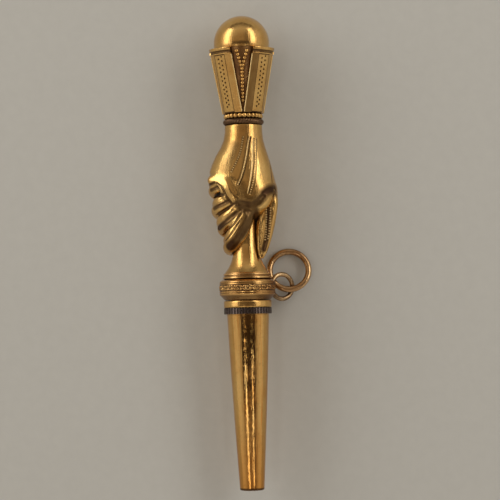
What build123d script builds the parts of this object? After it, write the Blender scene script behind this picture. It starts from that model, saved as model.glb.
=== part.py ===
"""Gilt watch key: a gloved hand that grips a rod, with a swivelling ring and a tapered pipe.

The key lies along Y, and the centre of the pipe's open end is the origin. The ball points to +Y,
the back of the hand faces +Z, and the ring lies on the +X side. Lengths are in millimetres, and a
station is a distance along the axis from the open end of the pipe.
"""

import os
from math import cos, radians, sin

from build123d import *

# Pipe: a gilt casing over a steel tube with a square socket
pipe_length = 18.47
pipe_tip_radius = 1.275
pipe_top_radius = 2.22
pipe_swell = 0.05
casing_wall = 0.22
tip_rounding = 0.18
tip_rounding_share = 0.90
socket_across_flats = 1.20
socket_depth = 5.0
socket_lead_in = 0.08
winding_pipe_length = 14.4

# Spindle that holds the whole key together, and the collet that centres it in the pipe
spindle_radius = 0.70
spindle_end = 9.5
collet_spigot_radius = 1.50

# Rings between the pipe and the swivel band
milled_ring_width = 0.63
milled_ring_radius = 2.51
milling_count = 44
milling_radius = 0.09
ferrule_width = 0.80
ferrule_radius = 2.52
ferrule_rounding = 0.18

# Swivel band, which turns on its sleeve between the ferrule and the cap
band_width = 2.10
band_radius = 2.95
band_top_radius = 2.62
band_foot_radius = 2.42
band_top_bevel = 0.30
band_foot_bevel = 0.52
band_line_width = 0.14
band_line_depth = 0.06
band_line_shares = (0.36, 0.72, 0.82)
sleeve_radius = 1.70
running_clearance = 0.04
end_play = 0.06

# Cap: the moulded lip on top of the collar
cap_width = 0.70
cap_radius = 2.56
cap_outline_shares = (
    (0.94, 0.00),
    (1.00, 0.14),
    (1.00, 0.34),
    (0.93, 0.44),
    (0.93, 0.54),
    (0.97, 0.64),
    (0.97, 0.84),
    (0.91, 0.94),
)

# Eye on the band, and the jump ring linked through it
eye_radius = 1.30
eye_wire_radius = 0.25
eye_reach = 4.27
eye_rise_share = 0.65
eye_turn = 31.0
jump_ring_radius = 2.045
jump_ring_wire_radius = 0.305
jump_ring_reach = 4.46
jump_ring_drop = 2.70
jump_ring_rise = 1.67
jump_ring_tilt = 14.0

# Rod held in the fist
rod_radius = 1.30
rod_flare_radius = 2.33
rod_flare_waist = 1.80
rod_flare_length = 2.00
rod_waist_share = 0.40
rod_flare_end_radius = 1.42
rod_taper_length = 1.00
rod_length = 8.40

# Hand: two thin struck halves over a filling, with the fingers curled round the rod
hand_clearance = 1.28
hand_length = 14.30
hand_width = 7.60
hand_depth = 6.60
wrist_radius = 1.96
hand_wall = 0.34
finger_radius_share = 0.0616
finger_end_share = 0.985
thumb_radius = 0.86

# Each row of the hand's body is a station share of the hand's length, then the reach to the left,
# right, top and bottom of the axis as shares of half the hand's width and depth.
hand_section_shares = (
    (0.273, 0.44, 0.48, 0.22, 0.62),
    (0.305, 0.54, 0.60, 0.28, 0.74),
    (0.340, 0.64, 0.72, 0.36, 0.82),
    (0.372, 0.70, 0.80, 0.47, 0.85),
    (0.400, 0.75, 0.85, 0.61, 0.87),
    (0.430, 0.80, 0.89, 0.73, 0.89),
    (0.470, 0.86, 0.92, 0.80, 0.90),
    (0.560, 0.96, 0.87, 0.81, 0.88),
    (0.670, 0.95, 0.77, 0.75, 0.80),
    (0.790, 0.78, 0.65, 0.67, 0.70),
    (0.890, 0.57, 0.54, 0.61, 0.62),
)

# Fingers from the little finger down. Each holds its knuckle, outer side and tip as a station share of
# the hand's length, then x and z as shares of half the hand's width and depth, and its thickness.
finger_shares = (
    ((0.600, -0.60, 0.52), (0.555, -0.845, 0.06), (0.500, -0.40, -0.74), 0.93),
    ((0.505, -0.40, 0.57), (0.415, -0.770, 0.06), (0.370, -0.24, -0.76), 1.02),
    ((0.405, -0.25, 0.60), (0.290, -0.630, 0.06), (0.250, -0.10, -0.76), 1.05),
    ((0.300, -0.12, 0.56), (0.165, -0.400, 0.10), (0.135, 0.05, -0.72), 1.14),
)

# Each row of the thumb is a station share, then x and z of its middle as shares of half the hand's
# width and depth, and its half width and half height as shares of the thumb's radius.
thumb_section_shares = (
    (0.500, 0.62, 0.05, 0.95, 1.15),
    (0.400, 0.685, 0.20, 0.93, 1.00),
    (0.315, 0.645, 0.27, 0.96, 1.00),
    (0.240, 0.575, 0.29, 1.08, 1.00),
    (0.150, 0.495, 0.29, 0.98, 0.95),
    (0.062, 0.420, 0.31, 0.62, 0.66),
    (0.012, 0.385, 0.32, 0.26, 0.30),
)

# Wrist plug and the two rings round it
plug_depth = 1.15
cord_ring_radius = 1.85
cord_ring_wire_radius = 0.30
bead_count = 25
bead_radius = 0.30
bead_circle_radius = 1.78

# Cuff: an inner cone with four leaves round it and beading in the gussets between them
cuff_length = 6.75
cone_foot_radius = 1.85
cone_top_radius = 3.20
cone_wall = 0.34
cone_floor = 0.80
leaf_foot_radius = 2.14
leaf_top_radius = 3.58
leaf_depth = 0.90
leaf_foot_half_angle = 41.5
leaf_top_half_angle = 24.0
facet_share = 0.48
lip_height = 0.28
lip_gap = 0.16
lip_overhang = 0.12
small_lip_height = 0.20
small_lip_overhang = 0.07
leaf_count = 4
gusset_bead_radius = 0.20
gusset_bead_pitch = 0.35
gusset_fork_share = 0.66
gusset_foot_margin = 1.20
gusset_top_margin = 0.45
gusset_arm_angle = 10.0

# Ball and its peg
ball_radius = 2.94
ball_rise = 0.71
ball_seat_clearance = 0.02
peg_radius = 0.60
peg_in_plug = 0.70
peg_in_ball = 1.40

# All cuts run this far past the faces that they open
overrun = 1.0

# Stations along the axis, each stacked on the piece below it
milled_ring_at = pipe_length
ferrule_at = milled_ring_at + milled_ring_width
sleeve_at = ferrule_at + ferrule_width
band_at = sleeve_at + end_play
cap_at = band_at + band_width + end_play
rod_at = cap_at + cap_width
hand_at = rod_at + hand_clearance
wrist_at = hand_at + hand_length
cord_ring_at = wrist_at + cord_ring_wire_radius
bead_ring_at = cord_ring_at + cord_ring_wire_radius + bead_radius
plug_at = wrist_at - plug_depth
cuff_at = bead_ring_at + bead_radius
cuff_top = cuff_at + cuff_length
ball_at = cuff_top + ball_rise
pipe_middle_radius = (pipe_tip_radius + pipe_top_radius) / 2 + pipe_swell

os.makedirs("parts", exist_ok=True)


def square_to_axis(station):
    """The plane square to the key's axis at a station, with its own x along X and y along Z."""
    return Plane.XZ.offset(-station)


def turned_outline(*corners):
    """A closed outline of (radius, station) corners, ready to be turned about the axis."""
    with BuildSketch(Plane.XY) as outline:
        with BuildLine():
            Polyline(*corners, close=True)
        make_face()
    return outline.sketch


def bar_outline(radius, start, stop):
    """The outline of a plain round bar between two stations."""
    return turned_outline((0, start), (radius, start), (radius, stop), (0, stop))


def ring_outline(inner, outer, start, stop):
    """The outline of a plain ring or tube between two stations."""
    return turned_outline((inner, start), (outer, start), (outer, stop), (inner, stop))


def finish(piece, name):
    """Label one finished piece and write its file."""
    piece.label = name
    export_step(piece, f"parts/{name}.step")


def pipe_side(inset):
    """The slightly swelled side of the pipe, moved inwards by inset, from tip to top."""
    return ThreePointArc(
        (pipe_tip_radius - inset, 0),
        (pipe_middle_radius - inset, pipe_length / 2),
        (pipe_top_radius - inset, pipe_length),
    )


def inside_casing(start, stop):
    """The space inside the casing between two stations, as a solid."""
    with BuildPart() as space:
        with BuildSketch(Plane.XY):
            with BuildLine():
                side = pipe_side(casing_wall)
                Polyline(side @ 1, (0, pipe_length), (0, 0), side @ 0)
            make_face()
        revolve(axis=Axis.Y)
        with BuildSketch(square_to_axis(start)):
            Circle(pipe_top_radius)
        extrude(amount=start - stop, mode=Mode.INTERSECT)
    return space.part


# Gilt casing of the pipe
with BuildPart() as pipe_casing:
    with BuildSketch(Plane.XY):
        with BuildLine():
            outer_side = pipe_side(0)
            inner_side = pipe_side(casing_wall)
            Line(outer_side @ 0, inner_side @ 0)
            Line(outer_side @ 1, inner_side @ 1)
        make_face()
    revolve(axis=Axis.Y)
    tip_edge = edges().filter_by(GeomType.CIRCLE).group_by(Axis.Y)[0].sort_by(SortBy.RADIUS)[-1]
    fillet(tip_edge, radius=min(tip_rounding, casing_wall * tip_rounding_share))
finish(pipe_casing.part, "pipe_casing")

# Steel tube in the casing, with the square winding socket in its open end
tube_blank = inside_casing(0, winding_pipe_length)
with BuildPart() as winding_pipe:
    add(tube_blank)
    bore = bar_outline(spindle_radius, socket_depth, winding_pipe_length + overrun)
    revolve(bore, axis=Axis.Y, mode=Mode.SUBTRACT)
    with BuildSketch(square_to_axis(0)):
        Rectangle(socket_across_flats, socket_across_flats)
    extrude(amount=-socket_depth, mode=Mode.SUBTRACT)
    mouth = faces().sort_by(Axis.Y)[0].inner_wires()[0].edges()
    chamfer(mouth, length=socket_lead_in)
finish(winding_pipe.part, "winding_pipe")

# Bush in the top of the pipe, with a spigot that carries the milled ring and the ferrule
collet_blank = inside_casing(winding_pipe_length, pipe_length)
with BuildPart() as pipe_collet:
    add(collet_blank)
    revolve(bar_outline(collet_spigot_radius, pipe_length, sleeve_at), axis=Axis.Y)
    bore = bar_outline(spindle_radius, winding_pipe_length - overrun, sleeve_at + overrun)
    revolve(bore, axis=Axis.Y, mode=Mode.SUBTRACT)
finish(pipe_collet.part, "pipe_collet")

# Spindle from the winding pipe to the wrist plug
with BuildPart() as core_spindle:
    revolve(bar_outline(spindle_radius, spindle_end, wrist_at), axis=Axis.Y)
finish(core_spindle.part, "core_spindle")

# Milled ring on top of the pipe
with BuildPart() as milled_ring:
    with BuildSketch(square_to_axis(milled_ring_at)):
        Circle(milled_ring_radius)
        Circle(collet_spigot_radius, mode=Mode.SUBTRACT)
        with PolarLocations(milled_ring_radius, milling_count):
            Circle(milling_radius, mode=Mode.SUBTRACT)
    extrude(amount=-milled_ring_width)
finish(milled_ring.part, "milled_ring")

# Bright plain ring under the band
with BuildPart() as plain_ferrule:
    revolve(ring_outline(collet_spigot_radius, ferrule_radius, ferrule_at, sleeve_at), axis=Axis.Y)
    rims = edges().filter_by(GeomType.CIRCLE).sort_by(SortBy.RADIUS)[-2:]
    fillet(rims, radius=ferrule_rounding)
finish(plain_ferrule.part, "plain_ferrule")

# Sleeve on the spindle that the band turns on
with BuildPart() as swivel_sleeve:
    revolve(ring_outline(spindle_radius, sleeve_radius, sleeve_at, cap_at), axis=Axis.Y)
finish(swivel_sleeve.part, "swivel_sleeve")

# Band that turns on the sleeve, with three engraved lines round it
band_bore_radius = sleeve_radius + running_clearance
band_top = band_at + band_width
with BuildPart() as swivel_band:
    revolve(
        turned_outline(
            (band_bore_radius, band_at),
            (band_foot_radius, band_at),
            (band_radius, band_at + band_foot_bevel),
            (band_radius, band_top - band_top_bevel),
            (band_top_radius, band_top),
            (band_bore_radius, band_top),
        ),
        axis=Axis.Y,
    )
    for line_share in band_line_shares:
        line_at = band_at + band_width * line_share
        revolve(
            turned_outline(
                (band_radius + band_line_depth, line_at - band_line_width),
                (band_radius - band_line_depth, line_at),
                (band_radius + band_line_depth, line_at + band_line_width),
            ),
            axis=Axis.Y,
            mode=Mode.SUBTRACT,
        )
finish(swivel_band.part, "swivel_band")

# Moulded cap over the band
cap_corners = [(cap_radius * wide, cap_at + cap_width * high) for wide, high in cap_outline_shares]
cap_shoulder_radius = cap_corners[-1][0]
with BuildPart() as collar_cap:
    revolve(
        turned_outline(
            (spindle_radius, cap_at),
            *cap_corners,
            (cap_shoulder_radius, rod_at),
            (spindle_radius, rod_at),
        ),
        axis=Axis.Y,
    )
finish(collar_cap.part, "collar_cap")

# Rod in the fist, flared where it stands on the cap
flare_top = rod_at + rod_flare_length
with BuildPart() as grip_rod:
    with BuildSketch(Plane.XY):
        with BuildLine():
            flare = ThreePointArc(
                (rod_flare_radius, rod_at),
                (rod_flare_waist, rod_at + rod_flare_length * rod_waist_share),
                (rod_flare_end_radius, flare_top),
            )
            Polyline(
                flare @ 1,
                (rod_radius, flare_top + rod_taper_length),
                (rod_radius, rod_at + rod_length),
                (spindle_radius, rod_at + rod_length),
                (spindle_radius, rod_at),
                flare @ 0,
            )
        make_face()
    revolve(axis=Axis.Y)
finish(grip_rod.part, "grip_rod")


def oval(station, left, right, top, bottom):
    """A section square to the axis, with its own reach to each of the four sides."""
    with BuildSketch(square_to_axis(station)) as section:
        with BuildLine():
            EllipticalCenterArc((0, 0), right, top, 0, arc_size=90)
            EllipticalCenterArc((0, 0), left, top, 90, arc_size=90)
            EllipticalCenterArc((0, 0), left, bottom, 180, arc_size=90)
            EllipticalCenterArc((0, 0), right, bottom, 270, arc_size=90)
        make_face()
    return section.sketch


def hand_form(inset):
    """The palm, back and wrist without fingers, with its skin moved inwards by inset."""
    half_width = hand_width / 2
    half_depth = hand_depth / 2
    sections = []
    for station_share, left, right, top, bottom in hand_section_shares:
        sections.append(
            oval(
                hand_at + hand_length * station_share,
                half_width * left - inset,
                half_width * right - inset,
                half_depth * top - inset,
                half_depth * bottom - inset,
            )
        )
    wrist = wrist_radius - inset
    sections.append(oval(wrist_at, wrist, wrist, wrist, wrist))
    with BuildPart() as form:
        loft(sections=sections)
    return form.part


def hand_point(station_share, x_share, z_share):
    """A point of the hand from its shares."""
    return Vector(
        hand_width / 2 * x_share,
        hand_at + hand_length * station_share,
        hand_depth / 2 * z_share,
    )


def finger_form(knuckle, side, tip, thickness):
    """One curled finger: a round bar bent over the rod, rounded at the knuckle and the tip."""
    radius = hand_length * finger_radius_share * thickness
    with BuildPart() as finger:
        with BuildLine():
            bend = ThreePointArc(hand_point(*knuckle), hand_point(*side), hand_point(*tip))
        with BuildSketch(Plane(bend @ 0, z_dir=bend % 0)):
            Circle(radius)
        sweep()
        with Locations(bend @ 0, bend @ 1):
            Sphere(radius * finger_end_share)
    return finger.part


# Plug that closes the wrist, with the spindle in its foot and the ball's peg in its head
plug_radius = wrist_radius - hand_wall
with BuildPart() as wrist_plug:
    revolve(bar_outline(plug_radius, plug_at, cuff_at), axis=Axis.Y)
    spindle_hole = bar_outline(spindle_radius, plug_at - overrun, wrist_at)
    revolve(spindle_hole, axis=Axis.Y, mode=Mode.SUBTRACT)
    peg_hole = bar_outline(peg_radius, cuff_at - peg_in_plug, cuff_at + overrun)
    revolve(peg_hole, axis=Axis.Y, mode=Mode.SUBTRACT)
finish(wrist_plug.part, "wrist_plug")

# Filling that backs the two struck halves
skin = hand_form(0)
hand_foot = hand_at + hand_length * hand_section_shares[0][0]
with BuildPart() as hand_hollow:
    add(hand_form(hand_wall))
    split(bisect_by=square_to_axis(hand_foot + hand_wall), keep=Keep.BOTTOM)
hollow = hand_hollow.part
with BuildPart() as hand_filling:
    add(hollow)
    add(wrist_plug.part, mode=Mode.SUBTRACT)
    add(grip_rod.part, mode=Mode.SUBTRACT)
    add(core_spindle.part, mode=Mode.SUBTRACT)
    split(bisect_by=square_to_axis(plug_at), keep=Keep.TOP)
finish(hand_filling.part, "hand_filling")

# Both struck halves in one, before they are parted along the seam
fingers = [finger_form(*shares) for shares in finger_shares]
with BuildPart() as whole_hand:
    add(skin)
    add(fingers)
    add(hollow, mode=Mode.SUBTRACT)
    add(grip_rod.part, mode=Mode.SUBTRACT)
    plug_hole = bar_outline(plug_radius, plug_at, wrist_at + overrun)
    revolve(plug_hole, axis=Axis.Y, mode=Mode.SUBTRACT)
    spindle_hole = bar_outline(spindle_radius, hand_at, wrist_at)
    revolve(spindle_hole, axis=Axis.Y, mode=Mode.SUBTRACT)

# Back of the hand, above the seam
with BuildPart() as hand_back_shell:
    add(whole_hand.part)
    split(bisect_by=Plane.XY, keep=Keep.TOP)
finish(hand_back_shell.part, "hand_back_shell")

# Palm and finger ends, below the seam
with BuildPart() as hand_palm_shell:
    add(whole_hand.part)
    split(bisect_by=Plane.XY, keep=Keep.BOTTOM)
finish(hand_palm_shell.part, "hand_palm_shell")

# Thumb, soldered on beside the rod
thumb_sections = []
for station_share, x_share, z_share, wide, high in thumb_section_shares:
    with BuildSketch(square_to_axis(hand_at + hand_length * station_share)) as thumb_section:
        with Locations((hand_width / 2 * x_share, hand_depth / 2 * z_share)):
            Ellipse(thumb_radius * wide, thumb_radius * high)
    thumb_sections.append(thumb_section.sketch)
with BuildPart() as thumb:
    loft(sections=thumb_sections)
    add(skin, mode=Mode.SUBTRACT)
    add(grip_rod.part, mode=Mode.SUBTRACT)
finish(thumb.part, "thumb")

# Corded ring where the hand meets the cuff
with BuildPart() as wrist_cord_ring:
    with Locations(square_to_axis(cord_ring_at)):
        Torus(cord_ring_radius, cord_ring_wire_radius)
    add(wrist_plug.part, mode=Mode.SUBTRACT)
finish(wrist_cord_ring.part, "wrist_cord_ring")

# Beaded ring under the cuff
with BuildPart() as wrist_bead_ring:
    with Locations(square_to_axis(bead_ring_at)):
        with PolarLocations(bead_circle_radius, bead_count):
            Sphere(bead_radius)
    add(wrist_plug.part, mode=Mode.SUBTRACT)
    add(wrist_cord_ring.part, mode=Mode.SUBTRACT)
finish(wrist_bead_ring.part, "wrist_bead_ring")

# Ball, with a blind hole for its peg
peg_top = ball_at - ball_radius + peg_in_ball
with BuildPart() as ball_knob:
    with Locations((0, ball_at, 0)):
        Sphere(ball_radius)
    peg_hole = bar_outline(peg_radius, cuff_at, peg_top)
    revolve(peg_hole, axis=Axis.Y, mode=Mode.SUBTRACT)
finish(ball_knob.part, "ball_knob")

# Peg through the floor of the cuff
with BuildPart() as ball_peg:
    revolve(bar_outline(peg_radius, cuff_at - peg_in_plug, peg_top), axis=Axis.Y)
finish(ball_peg.part, "ball_peg")

# Solid cone that the cuff's leaves and beading lie on
with BuildPart() as cone_blank:
    cone_corners = ((0, cuff_at), (cone_foot_radius, cuff_at), (cone_top_radius, cuff_top), (0, cuff_top))
    revolve(turned_outline(*cone_corners), axis=Axis.Y)

# Inner cup of the cuff, with a seat for the ball
with BuildPart() as cuff_cone:
    add(cone_blank.part)
    revolve(
        turned_outline(
            (0, cuff_at + cone_floor),
            (cone_foot_radius - cone_wall, cuff_at + cone_floor),
            (cone_top_radius - cone_wall, cuff_top),
            (0, cuff_top),
        ),
        axis=Axis.Y,
        mode=Mode.SUBTRACT,
    )
    with Locations((0, ball_at, 0)):
        Sphere(ball_radius + ball_seat_clearance, mode=Mode.SUBTRACT)
    peg_hole = bar_outline(peg_radius, cuff_at - overrun, cuff_at + cone_floor + overrun)
    revolve(peg_hole, axis=Axis.Y, mode=Mode.SUBTRACT)
finish(cuff_cone.part, "cuff_cone")


def leaf_section(station, radius, half_angle):
    """Three flat facets of a leaf and its back, square to the axis, centred on +Z."""
    inner_radius = radius - leaf_depth
    turns = (-half_angle, -half_angle * facet_share, half_angle * facet_share, half_angle)
    front = [(radius * sin(radians(turn)), radius * cos(radians(turn))) for turn in turns]
    back = [(inner_radius * sin(radians(turn)), inner_radius * cos(radians(turn))) for turn in turns[::-1]]
    with BuildSketch(square_to_axis(station)) as section:
        with BuildLine():
            Polyline(*front, *back, close=True)
        make_face()
    return section.sketch


def leaf_band(start, stop, overhang):
    """One straight moulding across the top of a leaf."""
    radius = leaf_top_radius + overhang
    with BuildPart() as band:
        loft(
            sections=[
                leaf_section(start, radius, leaf_top_half_angle),
                leaf_section(stop, radius, leaf_top_half_angle),
            ],
            ruled=True,
        )
    return band.part


# One leaf of the cuff, centred on +Z, with a double lip on top
small_lip_top = cuff_top - lip_height - lip_gap
top_lip = leaf_band(cuff_top - lip_height, cuff_top, lip_overhang)
small_lip = leaf_band(small_lip_top - small_lip_height, small_lip_top, small_lip_overhang)
leaf_foot = leaf_section(cuff_at, leaf_foot_radius, leaf_foot_half_angle)
leaf_top = leaf_section(cuff_top, leaf_top_radius, leaf_top_half_angle)
with BuildPart() as cuff_leaf:
    loft(sections=[leaf_foot, leaf_top], ruled=True)
    add(top_lip)
    add(small_lip)
    add(cone_blank.part, mode=Mode.SUBTRACT)

# One Y-shaped row of beads, centred on +Z, on the cone between two leaves
bead_foot_at = cuff_at + gusset_foot_margin
bead_fork_at = cuff_at + cuff_length * gusset_fork_share
bead_top_at = cuff_top - gusset_top_margin
stem_count = round((bead_fork_at - bead_foot_at) / gusset_bead_pitch)
arm_count = round((bead_top_at - bead_fork_at) / gusset_bead_pitch)


def on_cone(station, turn):
    """The point on the cone's skin at a station, turned from +Z about the axis."""
    radius = cone_foot_radius + (cone_top_radius - cone_foot_radius) * (station - cuff_at) / cuff_length
    return (radius * sin(radians(turn)), station, radius * cos(radians(turn)))


bead_places = []
for step in range(stem_count + 1):
    bead_places.append(on_cone(bead_foot_at + (bead_fork_at - bead_foot_at) * step / stem_count, 0))
for side in (-1, 1):
    for step in range(1, arm_count + 1):
        arm_share = step / arm_count
        arm_station = bead_fork_at + (bead_top_at - bead_fork_at) * arm_share
        bead_places.append(on_cone(arm_station, side * gusset_arm_angle * arm_share))
with BuildPart() as beading:
    with Locations(*bead_places):
        Sphere(gusset_bead_radius)
    add(cone_blank.part, mode=Mode.SUBTRACT)

# The leaves stand at the corners, and the beading faces up, down and to both sides
quarter_turn = 360 / leaf_count
for number in range(leaf_count):
    finish(cuff_leaf.part.rotate(Axis.Y, quarter_turn * (number + 0.5)), f"cuff_leaf_{number + 1}")
    finish(beading.part.rotate(Axis.Y, quarter_turn * number), f"gusset_beading_{number + 1}")

# Eye of the band, in a plane through the key's axis that is turned down from the side
eye_at = band_at + band_width * eye_rise_share
eye_out = Vector(cos(radians(eye_turn)), 0, -sin(radians(eye_turn)))
eye_centre = eye_out * eye_reach + Vector(0, eye_at, 0)
eye_plane = Plane(eye_centre, x_dir=eye_out, z_dir=eye_out.cross(Vector(0, 1, 0)))
with BuildPart() as eye_ring:
    with Locations(eye_plane):
        Torus(eye_radius, eye_wire_radius)
    add(swivel_band.part, mode=Mode.SUBTRACT)
finish(eye_ring.part, "eye_ring")

# Jump ring, which lies on the table at its far side and hangs in the eye at its near side
jump_ring_centre = Vector(jump_ring_reach, eye_at + jump_ring_rise, -jump_ring_drop)
jump_ring_normal = Vector(0, sin(radians(jump_ring_tilt)), cos(radians(jump_ring_tilt)))
jump_ring_plane = Plane(jump_ring_centre, x_dir=(1, 0, 0), z_dir=jump_ring_normal)
with BuildPart() as jump_ring:
    with Locations(jump_ring_plane):
        Torus(jump_ring_radius, jump_ring_wire_radius)
finish(jump_ring.part, "jump_ring")
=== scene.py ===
"""The looks of a gilt watch key: a gloved hand that grips a rod, a leafed cuff with a ball, a
swivelling collar with its rings, and a tapered pipe.

The pieces are modelled in millimetres, in the key's own frame, and scaled to metres when they are
done: Y runs along the key from the open end of the pipe to the ball, Z out of the back of the hand,
and X to the side where the ring lies. Sizes and places below are in millimetres, and angles in
degrees, where nothing else is said.
"""

from math import atan2, cos, hypot, pi, radians, sin

import bpy
from mathutils import Matrix, Vector
from mathutils.kdtree import KDTree


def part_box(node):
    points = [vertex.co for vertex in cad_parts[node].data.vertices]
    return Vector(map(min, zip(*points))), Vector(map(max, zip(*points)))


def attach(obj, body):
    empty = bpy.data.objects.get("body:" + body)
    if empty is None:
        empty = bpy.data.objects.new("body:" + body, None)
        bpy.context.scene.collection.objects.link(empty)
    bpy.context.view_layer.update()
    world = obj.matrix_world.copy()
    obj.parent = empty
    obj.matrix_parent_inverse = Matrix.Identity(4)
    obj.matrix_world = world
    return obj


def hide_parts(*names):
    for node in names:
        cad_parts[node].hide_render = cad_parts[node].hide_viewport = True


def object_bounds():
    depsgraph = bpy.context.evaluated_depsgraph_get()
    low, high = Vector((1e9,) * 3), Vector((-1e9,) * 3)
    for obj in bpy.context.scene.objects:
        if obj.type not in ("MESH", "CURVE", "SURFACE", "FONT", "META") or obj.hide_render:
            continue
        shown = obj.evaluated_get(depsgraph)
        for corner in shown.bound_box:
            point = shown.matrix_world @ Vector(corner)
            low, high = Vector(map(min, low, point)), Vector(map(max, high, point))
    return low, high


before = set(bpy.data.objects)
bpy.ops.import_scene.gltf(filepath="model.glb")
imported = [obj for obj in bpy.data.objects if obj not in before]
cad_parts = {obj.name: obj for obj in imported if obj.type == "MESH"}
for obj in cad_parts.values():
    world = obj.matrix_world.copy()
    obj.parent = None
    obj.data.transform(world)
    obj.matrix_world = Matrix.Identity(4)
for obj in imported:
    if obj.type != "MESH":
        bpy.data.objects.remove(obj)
CAD_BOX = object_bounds()

bl_info = {
    "name": "Gloved Hand Watch Key",
    "version": (1, 0, 0),
    "blender": (4, 5, 0),
    "location": "3D View > Sidebar > Watch Key",
    "description": "Models and finishes a gilt watch key shaped as a gloved hand",
    "category": "Object",
}

MM = 0.001

# Angle between faces above which a finished piece shows a sharp edge
SKIN_EDGE, WIRE_EDGE, BAND_EDGE, LEAF_EDGE = 80, 60, 50, 25


# Small helpers of the workbench


def start_clean():
    """Leave edit mode and let go of everything that is selected."""
    if bpy.context.object is not None and bpy.context.object.mode != "OBJECT":
        bpy.ops.object.mode_set(mode="OBJECT")
    bpy.ops.object.select_all(action="DESELECT")


def hold(piece):
    """Select one piece alone and make it the active one."""
    start_clean()
    piece.select_set(True)
    bpy.context.view_layer.objects.active = piece


def settled():
    """The piece that was just added, with its place and turn worked into its mesh."""
    bpy.ops.object.transform_apply(location=True, rotation=True, scale=True)
    return bpy.context.object


def edit_all():
    """Go into edit mode with all of the piece selected."""
    bpy.ops.object.mode_set(mode="EDIT")
    bpy.ops.mesh.select_all(action="SELECT")


def close_up():
    """Turn all faces of the piece outward and leave edit mode."""
    bpy.ops.mesh.select_all(action="SELECT")
    bpy.ops.mesh.normals_make_consistent(inside=False)
    bpy.ops.object.mode_set(mode="OBJECT")


def outline_of(corners, fill):
    """A closed line through corners, filled or not."""
    start_clean()
    bpy.ops.mesh.primitive_circle_add(vertices=len(corners), radius=1, fill_type=fill)
    for vertex, corner in zip(bpy.context.object.data.vertices, corners):
        vertex.co = corner
    return bpy.context.object


def wire_ring(centre, turn, radius, wire, sides):
    """A ring of round wire, turned about X. Its sides are counted round the ring and round the wire."""
    start_clean()
    bpy.ops.mesh.primitive_torus_add(
        location=centre, rotation=(turn, 0, 0), major_radius=radius, minor_radius=wire,
        major_segments=sides[0], minor_segments=sides[1],
    )
    return settled()


def tree_of(places):
    """Places kept so that the nearest ones are found fast."""
    tree = KDTree(len(places))
    for number, place in enumerate(places):
        tree.insert(place, number)
    tree.balance()
    return tree


def joined(pieces):
    """Several pieces made one."""
    start_clean()
    for piece in pieces:
        piece.select_set(True)
    bpy.context.view_layer.objects.active = pieces[0]
    bpy.ops.object.join()
    return bpy.context.object


def apply_modifier(piece, kind, name, **settings):
    """Add one modifier with its settings and apply it at once."""
    hold(piece)
    bpy.ops.object.modifier_add(type=kind)
    modifier = piece.modifiers[-1]
    modifier.name = name
    for key, value in settings.items():
        setattr(modifier, key, value)
    bpy.ops.object.modifier_apply(modifier=modifier.name)


def leave_dirt_and_shade(piece, domain, values):
    """Keep how much dirt and painted shade each point or face corner of a piece has, for its finish to read."""
    piece.data.attributes.new("Grime_and_shade", "FLOAT", domain).data.foreach_set("value", values)


def finish_piece(piece, name, body, material, edge, replaces=()):
    """Name a piece, scale it from millimetres to metres, shade it and hand it to its body."""
    piece.name = piece.data.name = name
    piece.data.transform(Matrix.Scale(MM, 4))
    hold(piece)
    bpy.ops.object.shade_smooth_by_angle(angle=radians(edge))
    piece.data.materials.clear()
    piece.data.materials.append(bpy.data.materials[material])
    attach(piece, body)
    if replaces:
        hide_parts(*replaces)


# Small helpers for the finishes


def new_finish(name):
    """A new material: its tree, its shader and the place on the piece."""
    material = bpy.data.materials.new(name)
    material.use_nodes = True
    tree = material.node_tree
    return tree, tree.nodes["Principled BSDF"], tree.nodes.new("ShaderNodeTexCoord").outputs["Object"]


def noise(tree, vector, scale, detail, roughness):
    """The value of one noise texture that reads a vector."""
    node = tree.nodes.new("ShaderNodeTexNoise")
    for label, number in (("Scale", scale), ("Detail", detail), ("Roughness", roughness)):
        node.inputs[label].default_value = number
    tree.links.new(vector, node.inputs["Vector"])
    return node.outputs["Fac"]


def ranged(tree, value, low, high, to_low=0.0, to_high=1.0):
    """A value taken from one range to another, and held inside it."""
    node = tree.nodes.new("ShaderNodeMapRange")
    node.clamp = True
    for label, number in (("From Min", low), ("From Max", high), ("To Min", to_low), ("To Max", to_high)):
        node.inputs[label].default_value = number
    tree.links.new(value, node.inputs["Value"])
    return node.outputs["Result"]


def reckoned(tree, operation, first, second, clamp=False):
    """One sum, product or the like of two sockets or numbers."""
    node = tree.nodes.new("ShaderNodeMath")
    node.operation = operation
    node.use_clamp = clamp
    for place, source in enumerate((first, second)):
        if isinstance(source, bpy.types.NodeSocket):
            tree.links.new(source, node.inputs[place])
        else:
            node.inputs[place].default_value = source
    return node.outputs["Value"]


def mixed(tree, share, first, second):
    """Two colours mixed by a share. Each may be a colour or a socket."""
    node = tree.nodes.new("ShaderNodeMix")
    node.data_type = "RGBA"
    colours = [socket for socket in node.inputs if socket.type == "RGBA"]
    for place, source in zip((node.inputs["Factor"], *colours), (share, first, second)):
        if isinstance(source, bpy.types.NodeSocket):
            tree.links.new(source, place)
        else:
            place.default_value = source
    return [socket for socket in node.outputs if socket.type == "RGBA"][0]


def bump_from(tree, shader, height, depth):
    """Let a height stand out of a finish by a depth."""
    bump = tree.nodes.new("ShaderNodeBump")
    bump.inputs["Distance"].default_value = depth * MM
    tree.links.new(height, bump.inputs["Height"])
    tree.links.new(bump.outputs["Normal"], shader.inputs["Normal"])


# Finishes

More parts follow.
